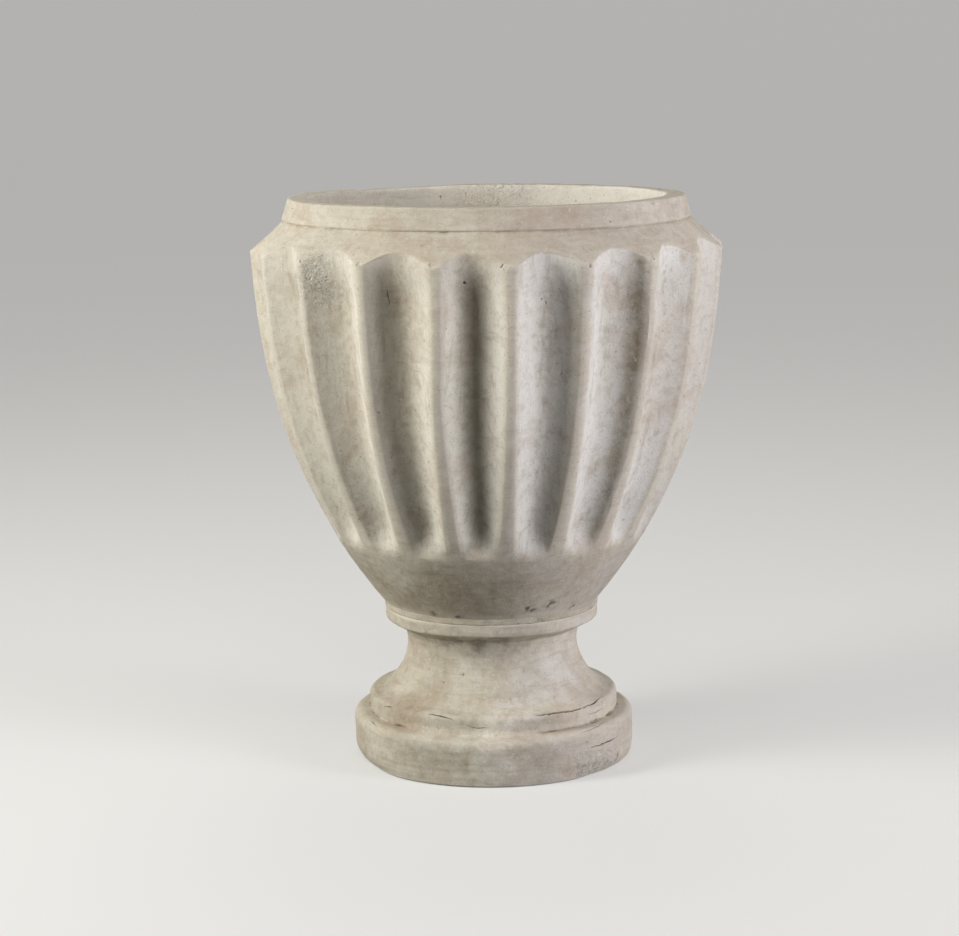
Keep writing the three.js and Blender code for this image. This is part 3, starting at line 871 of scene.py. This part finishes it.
FOOT_LUMPS = (10, 106, 76, 34)
FOOT_RAW = [(40, 143, 8, 34), (52, 142, 6, 30)]
FOOT_WARM = [(-48, 130, 58, 46), (-30, 112, 88, 30), (30, 126, 60, 30)]
FOOT_RUBBED = [(14, 104, 78, 34), (42, 98, 92, 40), (0, 143, 38, 60)]
FOOT_EDGE_DIRT = [(36, 143, 4, 9), (42, 143, 5, 9), (48, 143, 7, 10), (54, 143, 8, 10), (61, 143, 9, 9)]
FOOT_CRACKS = [
    (2.1, 3.6, (19.4, 125.2, 65.6), (31.8, 126.3, 65.6), (38.5, 126.5, 65.0), (46.4, 126.0, 65.0)),
    (2.2, 3.6, (44.0, 126.0, 65.4), (54.4, 125.2, 66.2), (63.4, 122.7, 67.6)),
    (1.5, 2.6, (-31.1, 124.6, 66.5), (-24.1, 124.8, 65.7), (-18.3, 125.9, 64.1)),
    (0.9, 2.0, (-60.2, 126.2, 62.7), (-53.4, 125.0, 65.1)),
    (1.2, 2.0, (-12.3, 126.7, 58.5), (-6.7, 126.4, 56.2), (-2.0, 126.4, 57.7)),
    (1.3, 2.0, (1.7, 130.3, 47.5), (6.2, 134.8, 47.4), (12.5, 134.4, 47.8)),
    (1.8, 3.4, (42.4, 142.8, 29.4), (48.2, 143.1, 29.6), (55.2, 142.9, 30.3), (61.2, 142.7, 31.2)),
    (0.9, 2.0, (48.0, 127.0, 57.5), (54.0, 127.0, 57.2), (61.0, 127.0, 58.3)),
    (1.4, 2.0, (37.0, 140.9, 45.2), (44.6, 139.5, 46.4), (55.3, 136.1, 47.6), (64.9, 137.3, 47.3)),
    (1.0, 2.0, (-64.7, 136.5, 46.8), (-58.6, 138.4, 45.3)),
    (0.7, 1.6, (-24.0, 90.9, 133.6), (-16.0, 89.6, 132.6), (-8.0, 89.2, 132.9)),
]
BOWL_RAW = [(-46, 226, 516, 30), (-45, 219, 492, 24), (180, 178, 556, 50), (170, 178, 560, 40)]
# The spot at turn -12, on the front of the shoulder, is painted shade that darkens that upward face.
BOWL_WARM = [(-12, 220, 536, 90), (52, 220, 420, 90), (20, 204, 560, 70)]
# Turn of an arris and the degrees by which its head leans to the right
ARRIS_LEANS = [(-12.7, 0.95), (-30.7, 0.35), (95.3, -0.6), (-156.7, 0.7)]
# Turn, width in degrees and strength of the dark streaks that run down the flutes. Those at -24.0, -4.6
# and 39.2 are painted shade in the front flutes.
FLUTE_SHADE_AND_STREAKS = [
    (-4.6, 3.6, 0.16), (39.2, 2.8, 0.62), (-24.0, 3.5, 0.12), (112.0, 4.0, 0.2), (-130.0, 4.0, 0.25),
]
JOINT_DIRT = [
    (-30, 111, 164, 9), (-17, 110, 163, 10), (-4, 110, 163, 10), (9, 110, 163, 9), (19, 117, 173, 10),
    (30, 120, 177, 11), (47, 112, 166, 8),
]
BOWL_CRACKS = [
    (1.3, 1.7, (-25.0, 218.5, 498.0), (-25.3, 216.4, 490.5), (-25.0, 214.4, 482.5)),
    (0.8, 1.2, (25.0, 204.8, 549.6), (36.0, 204.8, 549.3), (47.0, 204.8, 550.0), (56.0, 204.8, 549.8)),
    (0.7, 1.1, (-24.0, 203.8, 550.2), (-18.0, 203.8, 550.6), (-11.5, 203.8, 550.1)),
    (0.6, 1.0, (-8.5, 203.8, 550.5), (-2.0, 203.8, 550.2)),
]
BOWL_CHIPS = [
    ((-163.9, 178.9, 559.8), 1.7, 1.5, 1.2),
    ((-5.6, 219.3, 504.8), 2.0, 1.6, 1.0),
    ((13.3, 213.5, 488.4), 1.1, 1.0, 1.0),
    ((14.6, 212.3, 484.0), 1.4, 1.1, 1.5),
    ((4.0, 233.0, 519.5), 5.0, 1.1, 1.3),
    ((34.5, 203.3, 555.3), 1.3, 1.0, 1.0),
    ((-48.0, 233.0, 519.5), 5.5, 1.2, 1.0),
    ((-12.6, 234.0, 521.5), 4.5, 1.0, 1.0),
    ((23.4, 234.0, 519.5), 4.5, 1.0, 1.5),
    ((41.0, 234.0, 520.5), 3.5, 0.9, 1.0),
    ((-30.5, 234.0, 521.0), 3.5, 0.9, 1.2),
]


# The foot


def foot_outline():
    ledge = PLINTH_RADIUS - PLINTH_TOP_ROUND
    root_radius = TORUS_RADIUS - TORUS_ROOT
    edge = PLINTH_EDGE_ROUND
    outline = [(HOLLOW_RADIUS, 0.0), *arc(PLINTH_RADIUS - edge, edge, edge, -90, 0, 4)]
    outline += arc(ledge, PLINTH_HEIGHT - PLINTH_TOP_ROUND, PLINTH_TOP_ROUND, 0, 90, 10)
    outline += [(root_radius, PLINTH_HEIGHT), (TORUS_RADIUS, PLINTH_HEIGHT + TORUS_ROOT)]
    outline += arc(TORUS_RADIUS - TORUS_ROUND, TORUS_TOP - TORUS_ROUND, TORUS_ROUND, 0, 90, 6)
    start, end = (TORUS_RADIUS - TORUS_ROUND, TORUS_TOP), (NECK_RADIUS, NECK_LEVEL)
    outline += curve([start, *NECK_PULLS, end], 34)[1:]
    neck_pull = (NECK_RADIUS, (NECK_LEVEL + COLLAR_UNDERSIDE) / 2)
    outline += curve([end, neck_pull, (NECK_RADIUS + NECK_FLARE, COLLAR_UNDERSIDE)], 10)[1:]
    outline += arc(COLLAR_RADIUS - COLLAR_ROUND, FOOT_TOP - COLLAR_FACE, COLLAR_ROUND, COLLAR_SLOPE, 0, 6)
    outline += [(COLLAR_RADIUS, FOOT_TOP - COLLAR_EDGE), (COLLAR_RADIUS - COLLAR_EDGE, FOOT_TOP)]
    outline += [(BORE_RADIUS, FOOT_TOP), (BORE_RADIUS, HOLLOW_TOP)]
    outline += [(HOLLOW_TOP_RADIUS, HOLLOW_TOP), (HOLLOW_RADIUS, 0.0)]

    def step(middle):
        out, level = middle
        hidden = out < 0.085 or level < 0.001 or (level > FOOT_TOP - 0.0005 and out < 0.1)
        return HIDDEN_STEP if hidden or (out < 0.097 and level < 0.05) else SHOWN_STEP

    return spaced(outline, step)[:-1]


def smeared(places, out, level, share):
    """The corner between torus and plinth, filled with slurry by that share of a round fillet."""
    past = held((out - TORUS_RADIUS) / FILLET)
    above = held((level - PLINTH_HEIGHT) / FILLET)
    close = (past < 1) * (above < 1) * (out > TORUS_RADIUS - 0.002) * (level > PLINTH_HEIGHT - 0.001)
    turn = math.pi * (1.25 - 0.25 * (above - past))
    radius = TORUS_RADIUS + FILLET * (1 + np.cos(turn))
    height = PLINTH_HEIGHT + FILLET * (1 + np.sin(turn))
    filled = places.copy()
    filled[:, :2] *= (1 + close * share * (radius / np.maximum(out, 0.01) - 1))[:, None]
    filled[:, 2] += close * share * (height - level)
    return filled


def on_left(turn, start, end):
    """1 over the left half of the urn, running out from start to end in front and again at the back."""
    return (1 - step_up(turn, start, end)) * step_up(turn, -178, -118)


def cast_foot():
    """The foot, turned, worn, slurried in its corner, roughened, cracked and pitted."""
    piece = turned("cast_foot", foot_outline(), 380, STONE)
    places = corners(piece)
    out, level, turn = around(places)
    shown = step_up(out, 0.084, 0.0865) * step_up(level, 0.0, 0.004)
    shown *= step_up(FOOT_TOP - level, 0.0005, 0.0035)
    shown *= 1 - (out < HOLLOW_RADIUS + 0.0005) * (level < HOLLOW_TOP)
    worn = step_up(-turn, 40, 66) * step_up(turn, -140, -106)
    worn = (worn + 0.5 * step_up(turn, 30, 45) * step_up(-turn, -110, -80)) * step_up(out, 0.11, 0.13)
    low = held(1 - level / FOOT_EDGE_RISE) ** 2
    drawn = 1 - FOOT_EDGE_WORN / np.maximum(out, 0.05) * worn * low
    smear = step_up(turn, -50, -38) * step_up(-turn, -27, -15)
    smear = held(smear + 0.7 * step_up(np.abs(turn), 95, 115))
    smear = smear * (0.9 + 0.3 * wander(places, 0.03, 19))
    gap = np.hypot(out - TORUS_RADIUS, level - PLINTH_HEIGHT)
    places = smeared(places, out, level, smear)
    places[:, :2] *= drawn[:, None]
    places[:, 0] += FOOT_LEAN * (1 - level / FOOT_TOP)
    move(piece, places)
    weather(piece, 8, 1.3, 0.9, 5, shown)
    places, way = corners(piece), outward(piece)
    lumps = near(places, *FOOT_LUMPS)
    raw = held(spots(places, FOOT_RAW, 0.7 * lumps))
    push = 0.0009 * wander(places, 0.085, 1) + 0.0005 * wander(places, 0.022, 2)
    push += 0.00028 * wander(places, 0.02, 3, (0.25, 0.25, 6.0)) + 0.0002 * wander(places, 0.006, 4)
    push += 0.0036 * lumps * np.maximum(wander(places, 0.008, 6), 0)
    push += 0.0009 * raw * wander(places, 0.004, 7)
    move(piece, places + way * (push * shown)[:, None])

    places, way = corners(piece), outward(piece)
    hollow = np.clip(hollows(piece, 14) / 0.0016, -1, 1)
    soil = 0.4 * step_up(wander(places, 0.008, 8) + hollow, 0.6, 1.3)
    under = step_up(level, COLLAR_UNDERSIDE - 0.028, COLLAR_UNDERSIDE) * (1 - step_up(level, 0.141, 0.144))
    soil += under * (0.2 + 0.4 * near(places, -8, 90, 130, 70)) * patches(places, 0.02, 9, -0.5, 0.4)
    corner = (1 - step_up(gap, 0.001, 0.0036)) * (1 - smear)
    soil += 0.6 * (corner * patches(places, 0.018, 12, -0.5, 0.3))
    grit = patches(places, 0.004, 14, -0.1, 0.3)
    for spot in FOOT_EDGE_DIRT:
        soil += 0.8 * near(places, *spot) * grit
    # Browner in patches over the left half, low on the plinth there, and in one spot.
    stain_and_painted_shade = 0.25 * on_left(turn, 10, 50) * patches(places, 0.04, 11, -1.0, 0.4)
    stain_and_painted_shade += 0.08 * (1 - step_up(level, 0.03, 0.042)) * on_left(turn, 20, 40)
    stain_and_painted_shade += 0.14 * near(places, -50, 128, 60, 44)
    patchy = 0.3 + 0.7 * patches(places, 0.018, 10, -0.3, 0.2)
    marks = {
        "hollow": hollow,
        "channel": np.zeros(len(places)),
        "soil": held(soil * shown),
        "raw": raw * shown,
        "wash_and_painted_light": held(1.4 * spots(places, FOOT_RUBBED)) * patchy,
        "warm": held(spots(places, FOOT_WARM)) * shown,
        "stain_and_painted_shade": stain_and_painted_shade * shown,
    }
    chisel = Chisel(piece, 21)
    for crack in FOOT_CRACKS:
        chisel.crack(*crack)
    chisel.scatter(90, places, way, shown * (0.15 + raw), 0.5, 1.6)
    finish_casting(piece, chisel, marks)
    return piece


# The bowl, worked by hand after the tree has formed it


def fluted_bowl():
    """The bowl from its tree, worn, its rim sunk at one side, roughened, cracked, chipped and pitted."""
    piece = made_by(bowl_tree(), BOWL_SIZES, "fluted_bowl")
    out, level, turn = around(corners(piece))
    shown = step_up(level, BOWL_BASE + 0.001, BOWL_BASE + 0.004) * step_up(out, 0.09, 0.1)
    depth = (belly_radius(level) - out) / BOWL_SIZES["Flute depth"]
    skin = (depth < 1.3) * ((level < NOSE_LEVEL) + (out < shoulder_radius(level) - 0.002))
    channel = held(depth) * skin
    weather(piece, 4, 0.75, 0.5, 11, shown)

    places, way = corners(piece), outward(piece)
    for arris, lean in ARRIS_LEANS:
        swing = np.radians(lean * np.exp(-((turn - arris) / 6) ** 2) * step_up(level, 0.38, 0.47))
        places[:, 0] -= swing * places[:, 1]
        places[:, 1] += swing * places[:, 0]
    sunk = step_up(turn, -176, -150) * step_up(-turn, 131, 136)
    places[:, 2] -= RIM_SINK * sunk * step_up(level, RIM_BASE + 0.008, RIM_TOP)
    raw = held(spots(places, BOWL_RAW))
    push = 0.00025 * wander(places, 0.007, 12) + 0.0008 * raw * wander(places, 0.005, 13)
    push += 0.0004 * wander(places, 0.02, 14, (0.3, 0.3, 4.0)) * (level > NOSE_LEVEL)
    move(piece, places + way * (push * shown)[:, None])

    places, way = corners(piece), outward(piece)
    hollow = np.clip(hollows(piece, 12) / 0.0022, -1, 1)
    rough = wander(places, 0.005, 15)
    soil = 0.4 * step_up(rough + 0.5 * wander(places, 0.03, 16) + hollow * 0.6, 0.6, 1.2)
    # Painted shade, with some brown staining: the lower belly is darker in patches, most on its left half.
    # The shoulder and rim above the nose are darker, and so are the deep flute floors of the left half.
    # Dark streaks run down the flutes, and those in front are painted shade.
    stain_and_painted_shade = (0.10 + 0.26 * on_left(turn, 2, 24)) * (1 - step_up(level, 0.205, 0.245))
    stain_and_painted_shade *= patches(places, 0.05, 17, -1.2, 0.3)
    stain_and_painted_shade += 0.10 * step_up(level, NOSE_LEVEL - 0.002, NOSE_LEVEL + 0.006) * (channel < 0.02)
    stain_and_painted_shade += 0.14 * on_left(turn, 2, 14) * step_up(channel, 0.4, 0.9)
    for streak, width, share in FLUTE_SHADE_AND_STREAKS:
        stain_and_painted_shade += share * np.exp(-((turn - streak) / width) ** 2) * step_up(channel, 0.05, 0.3)
    for spot in JOINT_DIRT:
        soil += 1.3 * near(places, *spot) * step_up(rough, -0.15, 0.25)
    inside = (level > FLOOR_LEVEL) * (out < np.minimum(MOUTH_RADIUS + 0.001, belly_radius(level) - 0.03))
    outer = shown * (1 - inside)
    # Painted light inside the mouth: it counts as an edge, which the finish paints paler, and it gets none
    # of the painted shade of the hollows.
    mouth = inside * step_up(level, 0.50, 0.53)
    hollow = hollow * (1 - mouth) - 0.9 * mouth
    # A pale coat in the flutes, half as strong past 54 to 66 degrees from the front, which is painted
    # shade where the side lamps light the outer flutes. It is full inside the mouth, which is painted
    # light.
    wash_and_painted_light = step_up(channel, 0.03, 0.25) * (1 - 0.5 * step_up(np.abs(turn), 54, 66)) * (1 - mouth) + mouth
    marks = {
        "hollow": hollow,
        "channel": channel,
        "soil": held(soil * outer),
        "raw": raw * shown,
        "wash_and_painted_light": wash_and_painted_light,
        "warm": held(spots(places, BOWL_WARM)) * outer,
        "stain_and_painted_shade": stain_and_painted_shade * outer,
    }
    chisel = Chisel(piece, 22)
    for crack in BOWL_CRACKS:
        chisel.crack(*crack)
    for chip in BOWL_CHIPS:
        chisel.pit_at(*chip)
    chisel.scatter(70, places, way, outer * (0.12 + raw), 0.5, 1.7)
    finish_casting(piece, chisel, marks)
    return piece


# Small pieces


def mortar_joint():
    """The mortar bed, struck off ragged where it comes out of the joint."""
    inner = BORE_RADIUS + MORTAR_GAP
    outline = [(inner, MORTAR_LOW), (MORTAR_REACH, MORTAR_LOW), *JOINT_OUTLINE]
    outline += [(MORTAR_REACH, MORTAR_HIGH), (inner, MORTAR_HIGH), (inner, MORTAR_LOW)]

    def ragged(angle, radius, height):
        edge = np.stack([np.cos(angle), np.sin(angle), height * 8], -1).reshape(-1, 3)
        drawn = (wander(edge, 0.12, 8) + 0.7 * wander(edge, 0.03, 9)).reshape(radius.shape)
        outer = radius > 0.1075
        upper = outer & (height > 0.1600)
        return radius + np.where(outer, 0.0004 * drawn, 0), height + np.where(upper, 0.0011 * drawn, 0)

    rows = spaced(outline, lambda middle: 0.0011 if middle[0] > MORTAR_REACH else 0.01)[:-1]
    return turned("mortar_joint", rows, 420, MORTAR, ragged)


def threaded_rod():
    """The tie rod with its thread, which climbs one pitch a turn."""
    radius, low, high = reach("tie_rod")
    pitch, deep, end = 0.00175, 0.0009, 0.0013
    rows = int((high - low - 0.002) / pitch * 8)
    sides = [(radius, z) for z in np.linspace(low + 0.001, high - 0.001, rows)]
    outline = [(0.0, low), (radius - end, low), *sides, (radius - end, high), (0.0, high)]

    def cut(angle, radii, height):
        phase = (height / pitch - angle / (2 * math.pi)) % 1.0
        tooth = deep * held(np.abs(phase - 0.5) * 2.6 - 0.25)
        return radii - np.where(radii > radius - 1e-5, tooth, 0), height

    return turned("threaded_rod", outline, 28, STEEL, cut)


def hexagon_nut(name, node):
    """A nut turned from round stock, with six flats and a chamfer at both ends."""
    _, low, high = reach(node)
    width, stock, hole, chamfer, relief = 0.019, 0.011, 0.0063, 0.0012, 0.0006
    shares = (0, 0.03, 0.09, 0.16, 0.25, 0.5, 0.75, 0.84, 0.91, 0.97, 1)
    side = [(stock, low + (high - low) * share) for share in shares]
    outline = [(hole + relief, low), *side, (hole + relief, high)]
    outline += [(hole, high - relief), (hole, low + relief)]

    def flats(angle, radius, z):
        flat = width / 2 / np.cos((angle + math.pi / 6) % (math.pi / 3) - math.pi / 6)
        end = np.minimum(z - low, high - z)
        cone = width / 2 - 0.0002 + end / chamfer * 0.0013
        return np.where(radius > 0.0075, np.minimum(flat, cone), radius), z

    piece = turned(name, outline, 96, STEEL, flats)
    smooth(piece.data, 28)
    return piece


def washer(name, node, edge, finish):
    outer, low, high = reach(node)
    inner, side = 0.0065, 0.003
    outline = [(inner, low), (outer - edge, low), (outer, low + edge), (outer, high - edge)]
    outline += [(outer - edge, high), (inner + edge / 2, high), (inner, high - edge / 2)]
    piece = turned(name, spaced(outline, lambda middle: side), 72, finish)
    smooth(piece.data, 38)
    return piece


def cross_bar():
    """The flat bar with rounded corners, a hole for the rod and its edges broken."""
    long, low, high = reach("cross_bar")
    wide, corner, hole_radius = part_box("cross_bar")[1][1], 0.004, 0.0068
    rim = []
    for x, y, first in ((1, 1, 0), (-1, 1, 90), (-1, -1, 180), (1, -1, 270)):
        rim += arc(x * (long - corner), y * (wide - corner), corner, first, first + 90, 6)
    hole = arc(0, 0, hole_radius, 0, 360, 40)[:-1]
    loops, work = [], bmesh.new()
    for z in (low, high):
        for ring in (rim, hole):
            row = [work.verts.new((x, y, z)) for x, y in ring]
            loops.append([work.edges.new((a, b)) for a, b in zip(row, row[1:] + row[:1])])
    for lower, upper in ((0, 2), (1, 3)):
        bmesh.ops.bridge_loops(work, edges=loops[lower] + loops[upper])
    for around_bar, around_hole in ((0, 1), (2, 3)):
        bmesh.ops.triangle_fill(work, edges=loops[around_bar] + loops[around_hole], use_beauty=True)
    piece = formed("cross_bar_steel", work, STEEL)
    bevel = piece.modifiers.new("edges", "BEVEL")
    bevel.width, bevel.segments = 0.0007, 2
    bevel.limit_method, bevel.angle_limit = "ANGLE", math.radians(60)
    settle(piece)
    return piece


# Everything rides on the one body

MADE = [
    (fluted_bowl(), "bowl", "cast_stone"),
    (cast_foot(), "foot", "cast_stone"),
    (mortar_joint(), "mortar_bed", "mortar"),
    (threaded_rod(), "tie_rod", "steel"),
    (hexagon_nut("upper_hexagon_nut", "upper_nut"), "upper_nut", "steel"),
    (hexagon_nut("lower_hexagon_nut", "lower_nut"), "lower_nut", "steel"),
    (washer("wide_washer", "upper_washer", 0.0005, STEEL), "upper_washer", "steel"),
    (washer("plain_washer", "lower_washer", 0.0004, STEEL), "lower_washer", "steel"),
    (washer("rubber_gasket", "upper_gasket", 0.0009, RUBBER), "upper_gasket", "rubber"),
    (cross_bar(), "cross_bar", "steel"),
]
for piece, node_name, slot_name in MADE:
    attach(piece, "root")
    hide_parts(node_name)


# Floor, light and camera

FLOOR_REACH = 6.0
COVE_RADIUS = 3.0
WALL_TOP = 9.0
FLOOR_SIDES = 96
AIM = (0, 0, 0.35)
CAMERA_PLACE = (0.0, -2.5, 0.723)
CAMERA_DIP = 9.72
CAMERA_ROLL = -0.72


def studio():
    """A pale floor that curves up into a pale wall all round."""
    outline = [(0.0, 0.0)] + [(r, 0.0) for r in np.linspace(0.4, FLOOR_REACH, 15)]
    outline += arc(FLOOR_REACH, COVE_RADIUS, COVE_RADIUS, -90, 0, 16)[1:]
    outline += [(FLOOR_REACH + COVE_RADIUS, WALL_TOP)]
    turns = np.linspace(0, 2 * math.pi, FLOOR_SIDES, endpoint=False)
    places = [(r * math.cos(t), r * math.sin(t), z) for t in turns for r, z in outline]
    count = len(outline)
    faces = []
    for c in range(FLOOR_SIDES):
        a, b = c * count, (c + 1) % FLOOR_SIDES * count
        faces += [(a + k, b + k, b + k + 1, a + k + 1) for k in range(count - 1)]
    f = Finish("pale_floor")
    seen = f.node("ShaderNodeLightPath", output=None)
    direct = f.sum("MAXIMUM", seen["Is Camera Ray"], seen["Is Glossy Ray"])
    colour = f.blend(direct, (0.06, 0.058, 0.055, 1), (0.40, 0.395, 0.385, 1))
    glow = f.times(direct, 0.42)
    f.set(Base_Color=colour, Roughness=0.9, Emission_Color=(1.0, 0.985, 0.96, 1), Emission_Strength=glow)
    piece = object_of("studio_floor", places, faces, f.material)


def lamp(name, place, wide, high, power, colour):
    light = bpy.data.lights.new(name, "AREA")
    light.shape, light.size, light.size_y = "RECTANGLE", wide, high
    light.energy, light.color = power, colour
    piece = placed(name, light)
    piece.location = place
    piece.rotation_euler = (Vector(AIM) - Vector(place)).to_track_quat("-Z", "Y").to_euler()


def light_up():
    studio()
    lamp("left_softbox", (-2.19, -0.82, 1.25), 0.8, 1.7, 63, (1.0, 1.0, 0.95))
    lamp("right_softbox", (2.15, -1.14, 0.68), 0.8, 1.3, 46, (0.97, 0.975, 1.04))
    lamp("top_softbox", (0.0, -1.2, 2.43), 1.2, 1.2, 9.5, (1.0, 0.98, 0.93))
    lamp("back_softbox", (0.0, 1.2, 2.43), 1.2, 1.2, 11, (1.0, 0.98, 0.93))
    world = bpy.data.worlds.new("soft_room")
    world.use_nodes = True
    shade = world.node_tree.nodes["Background"]
    shade.inputs["Strength"].default_value = 0.015
    shade.inputs["Color"].default_value = (1.0, 0.98, 0.95, 1)
    bpy.context.scene.world = world


def camera():
    lens = bpy.data.cameras.new("camera")
    lens.sensor_width, lens.lens = 36.0, 93.47
    lens.shift_x = -0.0107
    lens.clip_end = 40.0
    piece = placed("camera", lens)
    dipped = Matrix.Rotation(math.radians(90 - CAMERA_DIP), 4, "X")
    rolled = Matrix.Rotation(math.radians(CAMERA_ROLL), 4, "Z")
    piece.matrix_world = Matrix.Translation(CAMERA_PLACE) @ dipped @ rolled
    bpy.context.scene.camera = piece


light_up()
camera()
bpy.context.scene.view_settings.view_transform = "Standard"

bpy.context.view_layer.update()
